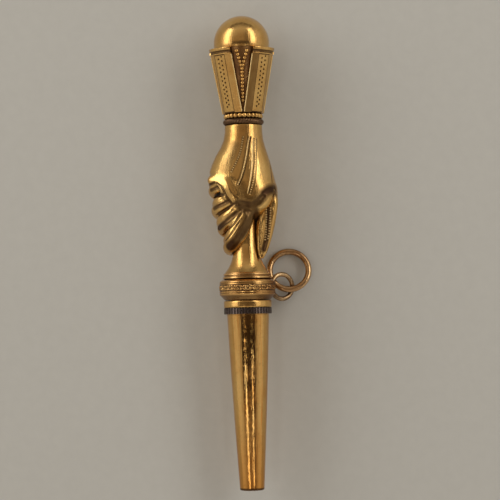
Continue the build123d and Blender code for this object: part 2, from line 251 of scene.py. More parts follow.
# Patterns of handled metal: how far the noise is stretched (or None), its scale per metre, its
# detail and its roughness, then the range of the noise that shows (or None for all of it)
PATTERNS = {
    "Clouds": (None, (260.0, 4.0, 0.6), (0.38, 0.72)),
    "Specks": (None, (2600.0, 3.0, 0.65), (0.56, 0.74)),
    "Scratches": ((9000.0, 420.0, 9000.0), (1.0, 2.0, 0.5), (0.35, 0.70)),
    "Dents": (None, (640.0, 1.0, 0.4), None),
    "Streaks": ((1900.0, 70.0, 1900.0), (1.0, 3.0, 0.6), (0.44, 0.64)),
}

# Each finish: bright colour, colour in its clouds and colour of its dirt and painted shade, each its own or
# the name of a setting; then its roughness, how far dirt and painted shade creep out of corners and how
# much of them, how deep its dents and scratches are, how much of the clouds shows, and how far up its
# dark end reaches
FINISHES = {
    "Polished gilt": ("gilt", "deep", "tarnish", 0.15, 0.35, 0.80, 1.8, 0.4, 0.75),
    "Pipe gilt": ("gilt", (0.60, 0.25, 0.045), "tarnish", 0.06, 0.35, 0.80, 1.2, 0.4, 0.85, 0.32),
    "Hand gilt": ("gilt", "deep", "tarnish", 0.16, 0.45, 1.0, 1.2, 0.5, 0.7),
    # Bright points is a lighter copy of the gilt: painted highlight on the glove's raised lines, beads and stitches
    # and on the leaf rims.
    "Bright points": ("point", (0.84, 0.56, 0.22), "tarnish", 0.26, 0.10, 0.5, 0.4, 0.3, 0.4),
    # Cap gilt is a lighter copy of the gilt: a painted highlight that brightens the collar cap's dark reflections.
    "Cap gilt": ((0.88, 0.55, 0.22), (0.58, 0.28, 0.09), "tarnish", 0.20, 0.40, 1.0, 1.4, 0.6, 0.9),
    "Cuff gilt": ("gilt", "deep", "tarnish", 0.17, 0.40, 1.0, 1.6, 0.6, 0.8),
    "Red gilt": ("band", (0.36, 0.14, 0.04), "tarnish", 0.12, 0.40, 1.0, 1.6, 0.6, 1.0),
    "Ring gilt": ("ring", (0.30, 0.14, 0.055), "tarnish", 0.13, 0.40, 1.0, 1.8, 0.6, 1.0),
    "Eye gilt": ("ring", (0.09, 0.05, 0.03), "tarnish", 0.12, 0.50, 1.0, 1.8, 0.6, 1.0),
    "Dark gilt": ("dark", (0.10, 0.06, 0.035), (0.02, 0.014, 0.010), 0.24, 0.40, 1.0, 1.0, 0.5, 0.8),
    "Blackened gilt": (
        (0.19, 0.145, 0.13), (0.06, 0.045, 0.04), (0.010, 0.008, 0.008), 0.18, 0.22, 1.0, 1.0, 0.5, 0.7,
    ),
    # Gusset gilt is a darker copy of the gilt: tarnish and painted shade in the hollow between the leaves.
    "Gusset gilt": ((0.42, 0.23, 0.08), (0.13, 0.06, 0.03), "tarnish", 0.20, 0.55, 1.0, 1.4, 0.5, 1.0),
    "Dark steel": ("steel", (0.10, 0.075, 0.06), (0.02, 0.015, 0.012), 0.32, 0.40, 1.0, 1.0, 0.6, 0.7),
    "Turned brass": ("brass", (0.45, 0.30, 0.11), "tarnish", 0.26, 0.40, 0.9, 0.8, 0.8, 0.5),
    "Set pitch": ((0.03, 0.02, 0.015), (0.018, 0.012, 0.010), (0.01, 0.008, 0.006), 0.6, 0.40, 0.9, 3.0, 0.5, 0.5),
}
FOUR = range(1, 5)
NODE_FINISHES = {
    "Polished gilt": ("grip_rod", "plain_ferrule", "ball_knob"),
    "Pipe gilt": ("pipe_casing",),
    "Gusset gilt": ("cuff_cone",),
    "Hand gilt": ("hand_back_shell", "hand_palm_shell", "thumb"),
    "Cap gilt": ("collar_cap",),
    "Cuff gilt": ("wrist_bead_ring", *(f"cuff_leaf_{n}" for n in FOUR), *(f"gusset_beading_{n}" for n in FOUR)),
    "Red gilt": ("swivel_band",),
    "Ring gilt": ("jump_ring",),
    "Eye gilt": ("eye_ring",),
    "Dark gilt": ("wrist_cord_ring",),
    "Blackened gilt": ("milled_ring",),
    "Dark steel": ("winding_pipe",),
    "Turned brass": ("core_spindle", "pipe_collet", "swivel_sleeve", "wrist_plug", "ball_peg"),
    "Set pitch": ("hand_filling",),
}
# Dirt and painted shade in corners, found by ambient occlusion: rays that look for them, and the range from a full
# corner to none
CORNER_SAMPLES, CORNER_RANGE = 8, (0.25, 0.86)
# Least and most of the dirt and painted shade that the clouds leave in the marked places
DIRT_AND_SHADE_SPREAD = (0.85, 1.15)
# Dark end: the share of its reach that is fully dark, and how dark. Above it the metal is streaky, and
# redder up to a station.
DARK_END, STREAK_SHARE, RED_REACH, RED_SHARE = (0.6, 0.9), 0.75, 11.0, 0.85
SPECK_SHARE = 0.22
# What clouds, specks, and dirt and painted shade add to the roughness, and how metallic a place full of them still
# is
CLOUD_ROUGHNESS, SPECK_ROUGHNESS, DIRT_AND_SHADE_ROUGHNESS, DIRT_AND_SHADE_METAL = 0.10, 0.08, 0.16, 0.85
WEAR_DEPTH = 0.01


def make_wear_group():
    """Clouds of tarnish, specks, hair scratches, dents and streaks, for every metal piece."""
    group = bpy.data.node_groups.new("Handled metal", "ShaderNodeTree")
    group.interface.new_socket(name="Vector", in_out="INPUT", socket_type="NodeSocketVector")
    for label in PATTERNS:
        group.interface.new_socket(name=label, in_out="OUTPUT", socket_type="NodeSocketFloat")
    place = group.nodes.new("NodeGroupInput").outputs["Vector"]
    outlet = group.nodes.new("NodeGroupOutput")
    for label, (stretch, texture, shown) in PATTERNS.items():
        vector = place
        if stretch:
            stretched = group.nodes.new("ShaderNodeMapping")
            stretched.inputs["Scale"].default_value = stretch
            group.links.new(place, stretched.inputs["Vector"])
            vector = stretched.outputs["Vector"]
        value = noise(group, vector, *texture)
        if shown:
            value = ranged(group, value, *shown)
        group.links.new(value, outlet.inputs[label])


def make_gilt(name, bright, deep, patina, rough, reach, share, dent, scratch, clouds, end=0.0):
    """A gilt or tarnished metal: bright colour, deeper clouds, dark dirt and painted shade in the recesses."""
    tree, shader, place = new_finish(name)
    node = tree.nodes.new("ShaderNodeGroup")
    node.node_tree = bpy.data.node_groups["Handled metal"]
    tree.links.new(place, node.inputs["Vector"])
    wear = node.outputs
    # Painted shade in corners, along with the tarnish there: ambient occlusion darkens the colour towards the
    # patina.
    hollow = tree.nodes.new("ShaderNodeAmbientOcclusion")
    hollow.samples = CORNER_SAMPLES
    hollow.inputs["Distance"].default_value = reach * MM
    corner_shade = ranged(tree, hollow.outputs["AO"], *CORNER_RANGE, 1.0, 0.0)
    marks = tree.nodes.new("ShaderNodeAttribute")
    marks.attribute_name = "Grime_and_shade"
    uneven = ranged(tree, wear["Clouds"], 0.0, 1.0, *DIRT_AND_SHADE_SPREAD)
    marked = reckoned(tree, "MULTIPLY", marks.outputs["Fac"], uneven, True)
    dirt_and_shade = reckoned(tree, "MAXIMUM", reckoned(tree, "MULTIPLY", corner_shade, share, True), marked)
    cloudy = reckoned(tree, "MULTIPLY", wear["Clouds"], clouds, True)
    if end:
        split = tree.nodes.new("ShaderNodeSeparateXYZ")
        tree.links.new(place, split.inputs["Vector"])
        station = split.outputs["Y"]
        dark = ranged(tree, station, end * DARK_END[0] * MM, end * MM, DARK_END[1], 0.0)
        dirt_and_shade = reckoned(tree, "MAXIMUM", dirt_and_shade, dark)
        streaky = reckoned(tree, "MULTIPLY", wear["Streaks"], STREAK_SHARE, True)
        reddened = ranged(tree, station, 0.0, RED_REACH * MM, RED_SHARE, 0.0)
        cloudy = reckoned(tree, "MAXIMUM", cloudy, reckoned(tree, "MAXIMUM", streaky, reddened))
    specked = reckoned(tree, "MULTIPLY", wear["Specks"], SPECK_SHARE, True)
    coloured = mixed(tree, specked, mixed(tree, cloudy, bright, deep), patina)
    tree.links.new(mixed(tree, dirt_and_shade, coloured, patina), shader.inputs["Base Color"])
    shine = reckoned(
        tree, "ADD", ranged(tree, wear["Clouds"], 0.0, 1.0, rough, rough + CLOUD_ROUGHNESS),
        ranged(tree, wear["Specks"], 0.0, 1.0, 0.0, SPECK_ROUGHNESS),
    )
    dulled = reckoned(tree, "ADD", shine, reckoned(tree, "MULTIPLY", dirt_and_shade, DIRT_AND_SHADE_ROUGHNESS), True)
    tree.links.new(dulled, shader.inputs["Roughness"])
    tree.links.new(ranged(tree, dirt_and_shade, 0.0, 1.0, 1.0, DIRT_AND_SHADE_METAL), shader.inputs["Metallic"])
    scratched = reckoned(tree, "MULTIPLY", wear["Scratches"], scratch)
    dented = reckoned(tree, "MULTIPLY", wear["Dents"], dent)
    bump_from(tree, shader, reckoned(tree, "ADD", scratched, dented), WEAR_DEPTH)


def make_finishes(settings):
    """Every finish on the key, with the colours of the settings."""
    make_wear_group()
    for name, values in FINISHES.items():
        shades = [getattr(settings, f"{shade}_colour") if isinstance(shade, str) else shade for shade in values[:3]]
        make_gilt(name, *((*shade, 1) for shade in shades), *values[3:])


def dress_nodes():
    """Give each carried-over node its finish."""
    for finish, nodes in NODE_FINISHES.items():
        for node in nodes:
            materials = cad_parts[node].data.materials
            materials.clear()
            materials.append(bpy.data.materials[finish])


# Shapes of the hand

BALL_SIDES, BALL_RINGS = 32, 20
STROKE_STEPS, STROKE_ROUNDNESS = 10, 6

# Body of the hand: station, then its reach to the little finger's side, the thumb's side, the back
# and the palm
HAND_RINGS = (
    (27.85, 1.20, 1.30, 0.40, 1.70), (27.95, 1.45, 1.60, 0.62, 2.00), (28.30, 1.70, 2.00, 1.05, 2.34),
    (28.70, 1.90, 2.40, 1.48, 2.60), (29.10, 2.05, 2.76, 1.94, 2.72), (29.50, 2.15, 3.00, 2.34, 2.80),
    (29.85, 2.25, 3.16, 2.58, 2.88), (30.20, 2.36, 3.30, 2.68, 2.92), (30.60, 2.50, 3.42, 2.70, 2.94),
    (31.20, 2.70, 3.46, 2.71, 2.96), (31.80, 2.92, 3.40, 2.71, 2.94), (32.40, 3.30, 3.22, 2.70, 2.90),
    (32.90, 3.62, 3.10, 2.64, 2.82), (33.50, 3.72, 2.96, 2.54, 2.72), (34.30, 3.44, 2.76, 2.40, 2.56),
    (35.20, 3.02, 2.50, 2.26, 2.38), (36.00, 2.52, 2.26, 2.12, 2.20), (36.80, 2.16, 2.05, 2.02, 2.06),
    (37.60, 2.00, 1.97, 1.98, 1.98), (38.40, 1.98, 1.97, 1.97, 1.97),
)

# Fingers from the little finger to the index, and the fold beside the index. Each is a bundle of
# rolls: x, y, z and radius from the knuckle round to the tip, then how far along Y, and how wide as a
# share, each roll of the bundle lies.
FINGER_STROKES = (
    (
        (
            (-2.25, 32.20, 1.20, 0.72), (-3.02, 32.05, 0.90, 0.80), (-3.42, 31.85, -0.10, 0.82),
            (-3.05, 31.45, -1.45, 0.84), (-1.90, 31.10, -2.40, 0.84), (-0.70, 30.95, -2.50, 0.80),
        ),
        ((0.36, 0.62), (-0.32, 0.68)),
    ),
    (
        (
            (-1.45, 30.70, 1.52, 0.80), (-2.45, 30.18, 1.32, 0.84), (-3.10, 29.78, 0.10, 0.86),
            (-2.80, 29.35, -1.35, 0.88), (-1.60, 29.05, -2.40, 0.88), (-0.40, 28.90, -2.50, 0.84),
        ),
        ((0.40, 0.60), (-0.30, 0.72)),
    ),
    (
        (
            (-0.75, 29.40, 1.66, 0.78), (-1.80, 28.62, 1.52, 0.80), (-2.62, 28.08, 0.20, 0.82),
            (-2.40, 27.60, -1.20, 0.86), (-1.30, 27.30, -2.35, 0.88), (-0.20, 27.15, -2.50, 0.84),
        ),
        ((0.26, 0.72), (-0.44, 0.60)),
    ),
    (
        (
            (0.20, 29.20, 1.66, 0.80), (-0.55, 27.90, 1.90, 0.90), (-1.62, 26.15, 1.35, 0.96),
            (-1.85, 25.65, -0.20, 0.96), (-1.20, 25.65, -1.70, 0.92), (-0.10, 25.75, -2.35, 0.86),
        ),
        ((0.36, 0.70), (-0.28, 0.74)),
    ),
    (
        (
            (0.42, 29.00, 1.50, 0.55), (0.06, 27.65, 1.55, 0.60), (-0.72, 26.40, 1.35, 0.62),
            (-1.35, 25.70, 0.80, 0.62),
        ),
        ((0.0, 1.0),),
    ),
)

# Raised edge of the back of the hand, over the knuckles, and where each of its rolls lies
KNUCKLE_EDGE = (
    (-2.78, 32.84, 1.06), (-2.06, 32.70, 1.58), (-1.66, 32.20, 1.84), (-1.42, 31.40, 1.92),
    (-1.04, 30.60, 1.93), (-0.86, 30.02, 1.78),
)
KNUCKLE_WIDTH = 0.62
KNUCKLE_ROLLS = ((0.36, 0.04, -0.07), (0, 0, 0), (-0.26, -0.13, -0.15), (-0.52, -0.26, -0.30))

# Thumb: station, middle and half width across, height of the middle and its half height
THUMB_RINGS = (
    (31.60, 2.50, 0.50, 0.85, 0.60), (31.00, 2.60, 0.72, 1.00, 0.85), (30.40, 2.62, 0.80, 1.08, 0.94),
    (29.80, 2.58, 0.82, 1.05, 0.96), (29.10, 2.50, 0.80, 0.98, 0.95), (28.30, 2.18, 0.97, 0.90, 0.92),
    (27.30, 2.00, 0.92, 0.82, 0.88), (26.70, 1.90, 0.86, 0.80, 0.82), (26.10, 1.82, 0.76, 0.80, 0.76),
    (25.20, 1.68, 0.57, 0.84, 0.60), (24.60, 1.60, 0.38, 0.92, 0.40), (24.25, 1.58, 0.17, 1.00, 0.18),
)
# Shares of the thumb's half width: how far out each lobe lies, and how wide lobes and core are. Then
# the share of its half height that the core stands over its middle.
LOBE_OFFSET, LOBE_WIDTH, CORE_WIDTH, CORE_TOP = 0.42, 0.60, 0.72, 0.10
HAND_SIDES, THUMB_SIDES = 48, 32
THUMB_GRAIN = 0.06
# How much the skin is smoothed in a round, and in how many rounds
POLISH, HAND_ROUNDS, THUMB_ROUNDS = 0.5, 5, 3

# Grooves, with dirt and painted shade, on the hand and the thumb: corners seen from above, the groove's half
# width and depth, then the half width and strength of the dirt and painted shade. Lines without a groove
# paint shade alone: on the index finger under the back of the hand, between it and the thumb, and down
# the little finger's side of the back.
HAND_LINES = (
    (((-0.70, 29.98), (0.04, 29.86), (0.74, 29.72), (1.36, 30.08), (1.90, 30.70)), 0.34, 0.14, 0.66, 1.20),
    (((1.95, 30.95), (2.50, 31.35), (3.10, 31.50)), 0.30, 0.08, 0.72, 1.05),
    (((0.90, 29.60), (1.05, 28.90), (1.00, 28.30)), 0.10, 0.0, 0.52, 1.20),
    (((0.55, 28.80), (0.13, 27.80), (-0.50, 26.80), (-1.12, 25.98), (-1.60, 25.50)), 0.10, 0.0, 0.74, 1.35),
    (((-0.40, 29.50), (0.20, 29.15), (0.85, 28.50)), 0.30, 0.05, 0.62, 1.20),
    (((-0.95, 29.00), (-1.80, 28.35), (-2.90, 27.55)), 0.18, 0.08, 0.38, 1.30),
    (((-1.85, 30.25), (-2.50, 29.98), (-3.30, 29.62)), 0.16, 0.08, 0.30, 1.25),
    (((-2.85, 31.82), (-3.20, 31.68), (-3.60, 31.55)), 0.14, 0.08, 0.26, 1.20),
    (((-3.20, 32.28), (-3.45, 32.20), (-3.75, 32.10)), 0.12, 0.07, 0.20, 1.10),
    (((-0.55, 28.20), (-1.25, 27.20), (-2.15, 26.20)), 0.10, 0.06, 0.14, 0.90),
    (((-2.15, 30.98), (-2.60, 30.93), (-3.15, 30.88)), 0.20, 0.12, 0.24, 1.15),
    (((-1.20, 29.95), (-1.90, 29.50), (-2.95, 28.95)), 0.20, 0.12, 0.22, 1.15),
    (((-0.45, 28.95), (-1.20, 27.95), (-2.36, 26.92)), 0.20, 0.12, 0.20, 1.15),
    (
        ((-2.95, 32.18), (-2.50, 31.80), (-2.22, 31.35), (-1.95, 30.75), (-1.62, 30.30), (-1.30, 29.85)),
        0.14, 0.10, 0.20, 1.0,
    ),
    (((2.66, 34.60), (2.80, 33.40), (2.88, 32.20)), 0.09, 0.05, 0.11, 1.00),
    (
        ((0.43, 36.95), (0.28, 36.3), (0.08, 35.0), (-0.24, 33.6), (-0.56, 32.6), (-0.88, 31.95)),
        0.07, 0.02, 0.10, 0.80,
    ),
    (
        ((0.73, 36.95), (0.58, 36.3), (0.37, 35.0), (0.06, 33.6), (-0.27, 32.6), (-0.59, 31.95)),
        0.09, 0.03, 0.13, 1.10,
    ),
    (
        ((1.10, 36.85), (1.06, 35.6), (0.97, 34.2), (0.82, 32.9), (0.62, 31.8), (0.39, 31.0)),
        0.08, 0.03, 0.10, 1.10,
    ),
    (((1.37, 36.8), (1.37, 35.6), (1.28, 34.2), (1.13, 32.9), (0.92, 31.8), (0.66, 30.9)), 0.07, 0.02, 0.10, 0.80),
    (((-0.05, 36.95), (-0.22, 36.0), (-0.48, 35.1), (-0.88, 34.2), (-1.38, 33.3)), 0.10, 0.01, 0.16, 0.85),
    (((-1.05, 36.0), (-1.45, 35.1), (-1.85, 34.3), (-2.15, 33.7)), 0.10, 0.0, 0.75, 0.58),
)
THUMB_LINES = (
    (
        ((2.42, 30.0), (2.40, 29.2), (2.36, 28.5), (2.31, 27.6), (2.24, 26.9), (2.10, 26.2), (1.80, 25.2)),
        0.18, 0.10, 0.34, 1.25,
    ),
    (((1.90, 29.5), (1.60, 28.5), (1.48, 27.4), (1.42, 26.3), (1.44, 25.3)), 0.07, 0.03, 0.08, 0.60),
    (((1.95, 30.40), (2.45, 30.95), (3.00, 31.05)), 0.20, 0.04, 0.62, 1.05),
)
# Distance between the marks along a line, and how far any mark reaches
MARK_PITCH, MARK_REACH = 0.06, 0.75
# How fast the dirt and painted shade fade away from a line
DIRT_AND_SHADE_FALLOFF = 0.7
# Height over the key from which a place on the skin is looked for
OVERHEAD = 20


def ball_at(centre, radius):
    """A round lump."""
    start_clean()
    bpy.ops.mesh.primitive_uv_sphere_add(
        segments=BALL_SIDES, ring_count=BALL_RINGS, radius=radius, location=centre
    )
    return settled()


def stroke(points, steps=STROKE_STEPS, order=3):
    """A round bar along a smooth path. Each point is x, y, z and the bar's radius there."""
    start_clean()
    bpy.ops.curve.primitive_nurbs_path_add()
    curve = bpy.context.object.data
    curve.splines.clear()
    spline = curve.splines.new("NURBS")
    spline.points.add(len(points) - 1)
    for point, (x, y, z, radius) in zip(spline.points, points):
        point.co = (x, y, z, 1)
        point.radius = radius
    spline.order_u = order
    spline.use_endpoint_u = True
    spline.resolution_u = steps
    curve.bevel_depth = 1.0
    curve.bevel_resolution = STROKE_ROUNDNESS
    curve.use_fill_caps = True
    bpy.ops.object.convert(target="MESH")
    return settled()


def rounded_stroke(points):
    """A stroke with a round lump at each end."""
    return [stroke(points), *(ball_at(end[:3], end[3]) for end in (points[0], points[-1]))]


def drawn_bar(rings, sides):
    """A disc drawn out ring by ring along Y. Each ring is its station and its reach to -X, +X, +Z and -Z."""
    shapes = [
        (Vector(((right - left) / 2, station, (top - bottom) / 2)), (left + right) / 2, (top + bottom) / 2)
        for station, left, right, top, bottom in rings
    ]
    start_clean()
    centre, wide, high = shapes[0]
    bpy.ops.mesh.primitive_circle_add(
        vertices=sides, radius=1, fill_type="NGON", location=centre, rotation=(pi / 2, 0, 0)
    )
    bar = settled()
    edit_all()
    bpy.ops.transform.resize(value=(wide, 1, high), center_override=centre)
    for (below, was_wide, was_high), (centre, wide, high) in zip(shapes, shapes[1:]):
        bpy.ops.mesh.extrude_region_move(TRANSFORM_OT_translate={"value": centre - below})
        bpy.ops.transform.resize(value=(wide / was_wide, 1, high / was_high), center_override=centre)
    close_up()
    return bar


def skin_over(masses, grain, rounds):
    """One skin over several masses, its cells as wide as the grain, smoothed in rounds."""
    piece = joined(masses)
    apply_modifier(piece, "REMESH", "Skin", mode="VOXEL", voxel_size=grain, use_smooth_shade=True)
    apply_modifier(piece, "SMOOTH", "Polish", factor=POLISH, iterations=rounds)
    return piece


def on_skin(piece, x, y, above=0.0, unit=MM):
    """The point on a piece's skin straight below a place over the back of the hand, or a little above it."""
    hit, place, normal, _ = piece.ray_cast(Vector((x, y, OVERHEAD)) * unit, Vector((0, 0, -1)))
    if not hit:
        raise RuntimeError(f"nothing of {piece.name} lies below {x}, {y}")
    return place / unit + normal * above


def spaced_points(corners, pitch):
    """Evenly spaced (x, y) places along a line through its corners."""
    corners = [Vector(corner) for corner in corners]
    lines = [(a, b, (b - a).length) for a, b in zip(corners, corners[1:])]
    total = sum(span for a, b, span in lines)
    parts = max(2, round(total / pitch))
    places = []
    for number in range(parts + 1):
        left = total * number / parts
        for a, b, span in lines:
            if left <= span + 1e-9:
                places.append(a + (b - a) * left / span)
                break
            left -= span
    return places


def carve(piece, lines):
    """Press grooves into a piece's skin, still in millimetres, and leave dirt and painted shade along them."""
    marks = []
    for corners, *sizes in lines:
        for x, y in spaced_points(corners, MARK_PITCH):
            marks.append((on_skin(piece, x, y, 0.0, 1.0), sizes))
    tree = tree_of([place for place, sizes in marks])
    dirt_and_shade, moved = [], {}
    for vertex in piece.data.vertices:
        press = dark = 0.0
        for place, number, reach in tree.find_range(vertex.co, MARK_REACH):
            width, depth, spread, strength = marks[number][1]
            if reach < width:
                press = max(press, depth * (1 - (reach / width) ** 2))
            if reach < spread:
                dark = max(dark, min(1.0, strength * (1 - (reach / spread) ** 2) ** DIRT_AND_SHADE_FALLOFF))
        dirt_and_shade.append(dark)
        if press:
            moved[vertex.index] = vertex.co - vertex.normal * press
    for index, place in moved.items():
        piece.data.vertices[index].co = place
    leave_dirt_and_shade(piece, "POINT", dirt_and_shade)


def make_hand(settings):
    """Back of the hand, palm and curled fingers as one skin over the struck halves."""
    masses = [drawn_bar(HAND_RINGS, HAND_SIDES)]
    for points, rolls in FINGER_STROKES:
        for shift, width in rolls:
            masses += rounded_stroke([(x, y + shift, z, radius * width) for x, y, z, radius in points])
    for shift in KNUCKLE_ROLLS:
        masses += rounded_stroke([(*(Vector(place) + Vector(shift)), KNUCKLE_WIDTH) for place in KNUCKLE_EDGE])
    hand = skin_over(masses, settings.skin_grain / MM, HAND_ROUNDS)
    carve(hand, HAND_LINES)
    replaced = ("hand_back_shell", "hand_palm_shell")
    finish_piece(hand, "gloved_hand", "key", "Hand gilt", SKIN_EDGE, replaced)


def make_thumb():
    """Thumb of the glove, two long lobes with a stitched furrow between them."""
    masses = [
        stroke([
            (middle + side * LOBE_OFFSET * wide, station, level, LOBE_WIDTH * wide)
            for station, middle, wide, level, high in THUMB_RINGS
        ])
        for side in (-1, 1)
    ]
    core = [
        (station, CORE_WIDTH * wide - middle, CORE_WIDTH * wide + middle, level + CORE_TOP * high, high - level)
        for station, middle, wide, level, high in THUMB_RINGS[::-1]
    ]
    thumb = skin_over([*masses, drawn_bar(core, THUMB_SIDES)], THUMB_GRAIN, THUMB_ROUNDS)
    carve(thumb, THUMB_LINES)
    finish_piece(thumb, "glove_thumb", "key", "Hand gilt", SKIN_EDGE, ("thumb",))


# Glove points on the back of the hand: x and station along each, from the wrist to the knuckles, and
# for a raised line the share of the full thickness that it has
POINT_RIDGES = (
    (
        "glove_point_ring",
        ((0.58, 36.95), (0.42, 36.3), (0.22, 35.0), (-0.10, 33.6), (-0.42, 32.6), (-0.74, 31.95)), 0.65,
    ),
    (
        "glove_point_middle",
        ((0.96, 36.85), (0.90, 35.6), (0.80, 34.2), (0.66, 32.9), (0.46, 31.8), (0.26, 31.0)), 1.0,
    ),
)
POINT_BEADS = (
    ("glove_beads_little", ((-0.05, 36.95), (-0.22, 36.0), (-0.48, 35.1), (-0.88, 34.2), (-1.38, 33.3))),
    (
        "glove_beads_ring",
        ((0.60, 36.95), (0.44, 36.3), (0.24, 35.0), (-0.08, 33.6), (-0.40, 32.6), (-0.72, 31.95)),
    ),
    (
        "glove_beads_middle",
        ((1.24, 36.8), (1.22, 35.6), (1.13, 34.2), (0.98, 32.9), (0.77, 31.8), (0.51, 30.9)),
    ),
)
THUMB_STITCHES = (
    ("thumb_stitches_left", ((2.18, 29.6), (2.16, 28.6), (2.12, 27.6), (2.07, 26.8), (1.98, 26.2))),
    ("thumb_stitches_right", ((2.64, 29.5), (2.59, 28.6), (2.50, 27.6), (2.41, 26.8), (2.30, 26.3))),
)
RIDGE_PITCH, RIDGE_STEPS = 0.25, 3
# Thickness of a raised line at its end, next to it and from there on
RIDGE_TAPER = (0.35, 0.8, 1.0)
# Share of their radius by which lines and beads stand out of the skin
LIFT = 0.25
BEAD_SHAPE = (1.0, 0.66, 0.8)
BEAD_SPLITS = 2


def lay_beads(name, carrier, corners, pitch, radius):
    """A row of small oval beads along a line on the glove."""
    beads = []
    for x, y in spaced_points(corners, pitch):
        place = on_skin(carrier, x, y, radius * LIFT)
        start_clean()
        bpy.ops.mesh.primitive_ico_sphere_add(subdivisions=BEAD_SPLITS, radius=radius, location=place)
        bpy.context.object.scale = BEAD_SHAPE
        beads.append(bpy.context.object)
    joined(beads)
    finish_piece(settled(), name, "key", "Bright points", SKIN_EDGE)


def make_glove_points(settings):
    """Raised lines, rows of beads and rows of stitches on the back of the glove and its thumb."""
    hand, thumb = bpy.data.objects["gloved_hand"], bpy.data.objects["glove_thumb"]
    for name, corners, share in POINT_RIDGES:
        places = spaced_points(corners, RIDGE_PITCH)
        radius = settings.line_radius / MM * share
        points = []
        for number, (x, y) in enumerate(places):
            end = min(number, len(places) - 1 - number, len(RIDGE_TAPER) - 1)
            points.append((*on_skin(hand, x, y, radius * LIFT), radius * RIDGE_TAPER[end]))
        ridge = stroke(points, RIDGE_STEPS)
        finish_piece(ridge, name, "key", "Bright points", SKIN_EDGE)
    for name, corners in POINT_BEADS:
        lay_beads(name, hand, corners, settings.bead_pitch / MM, settings.bead_radius / MM)
    for name, corners in THUMB_STITCHES:
        lay_beads(name, thumb, corners, settings.stitch_pitch / MM, settings.stitch_radius / MM)


# Small work on the collar and the wrist

# Sides round the whole ring and round its wire
CORD_SIDES, RING_SIDES = (288, 24), (144, 24)
BAND_SIDES = 720
WELD = 0.0005

# Frieze of the band: its radius and width, then the curl and the leaves of one scroll
FRIEZE_RADIUS, FRIEZE_WIDTH = 2.92, 0.74
CURL_DROP, CURL_START, CURL_GROWTH, CURL_LINE, CURL_EYE = -0.04, 0.10, 0.22, 0.085, 0.085
SCROLL_LEAVES = ((-0.36, 0.15, 0.7), (0.36, -0.15, 0.7), (0.34, 0.19, -0.6), (-0.36, -0.19, -0.6))
SCROLL_LEAF_LENGTH, SCROLL_LEAF_WIDTH, SCROLL_LEAF_CROWN = 0.18, 0.085, 1.4

# Outline of the band on its outer side, below and above the frieze: share of its width from the
# foot, and radius
BAND_FOOT = (
    (0.000, 2.42), (0.012, 2.44), (0.06, 2.50), (0.12, 2.62), (0.18, 2.76), (0.23, 2.87), (0.26, 2.92),
    (0.285, 2.95), (0.315, 2.95), (0.33, 2.88), (0.35, 2.88), (0.365, 2.94), (0.40, 2.955), (0.42, 2.955),
    (0.435, 2.90),
)
BAND_TOP = (
    (0.765, 2.90), (0.78, 2.955), (0.80, 2.955), (0.82, 2.94), (0.835, 2.88), (0.85, 2.88), (0.865, 2.93),
    (0.89, 2.93), (0.92, 2.88), (0.95, 2.80), (0.98, 2.70), (1.0, 2.64),
)
FRIEZE_ROWS, FRIEZE_GROUND = 20, 2.90
BAND_BORE = 1.74
# Dirt on the band: the share of its width below which its foot darkens, and over how much; the
# grooves that are dark; and how dark the foot, the grooves and the frieze's ground are
FOOT_DIRT_TOP, FOOT_DIRT_RUN = 0.30, 0.12
DIRTY_GROOVES = ((0.335, 0.35), (0.83, 0.855))
FOOT_DIRT, GROOVE_DIRT, GROUND_DIRT = 0.75, 0.9, 0.95
# What counts as the frieze: this far past its edges, and outside this radius
FRIEZE_MARGIN, FRIEZE_INSIDE = 0.002, 2.5

RING_TILT = 13.0
RING_SHIFT = (0.02, 0.035, 0.0)


def make_cord_ring(settings):
    """Corded ring at the wrist, its strands laid round each other."""
    low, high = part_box("wrist_cord_ring")
    station = (low.y + high.y) / 2 / MM
    wire = (high.y - low.y) / 2 / MM
    radius = high.x / MM - wire
    ring = wire_ring((0, station, 0), pi / 2, radius, wire, CORD_SIDES)
    for vertex in ring.data.vertices:
        turn = atan2(vertex.co.z, vertex.co.x)
        out = Vector((cos(turn), 0, sin(turn)))
        middle = out * radius + Vector((0, station, 0))
        arm = vertex.co - middle
        around = atan2(arm.y, arm.dot(out))
        lay = abs(sin((around * settings.cord_strands + turn * settings.cord_turns) / 2))
        vertex.co = middle + arm * (1.0 - settings.cord_depth * (1.0 - lay) ** 2)
    finish_piece(ring, "corded_wrist_ring", "key", "Dark gilt", WIRE_EDGE, ("wrist_cord_ring",))


def turned_ring(outline, sides):
    """An outline of (radius, station) corners spun about the key's axis into a closed ring."""
    ring = outline_of([(radius, station, 0) for radius, station in outline], "NOTHING")
    edit_all()
    bpy.ops.mesh.spin(steps=sides, angle=2 * pi, center=(0, 0, 0), axis=(0, 1, 0))
    bpy.ops.mesh.select_all(action="SELECT")
    bpy.ops.mesh.remove_doubles(threshold=WELD)
    close_up()
    return ring


def engraving_height(turn, share, scrolls):
    """Height of the scrolls on the band, from 0 to 1, at a turn and a share of the frieze's width."""
    phase = turn * scrolls / (2 * pi)
    number = int(phase // 1)
    u = (phase - number - 0.5) * 2 * pi * FRIEZE_RADIUS / scrolls
    v = (share - 0.5) * FRIEZE_WIDTH * (1 if number % 2 == 0 else -1)
    reach = (u ** 2 + (v - CURL_DROP) ** 2) ** 0.5
    angle = atan2(v - CURL_DROP, u)
    curl = CURL_START + CURL_GROWTH * ((angle + pi) / (2 * pi))
    height = max(0.0, 1.0 - abs(reach - curl) / CURL_LINE, 1.0 - reach / CURL_EYE)
    for leaf_u, leaf_v, leaf_turn in SCROLL_LEAVES:
        du, dv = u - leaf_u, v - leaf_v
        along = du * cos(leaf_turn) + dv * sin(leaf_turn)
        across = -du * sin(leaf_turn) + dv * cos(leaf_turn)
        inside = 1.0 - (along / SCROLL_LEAF_LENGTH) ** 2 - (across / SCROLL_LEAF_WIDTH) ** 2
        height = max(height, SCROLL_LEAF_CROWN * inside)
    return min(1.0, height)


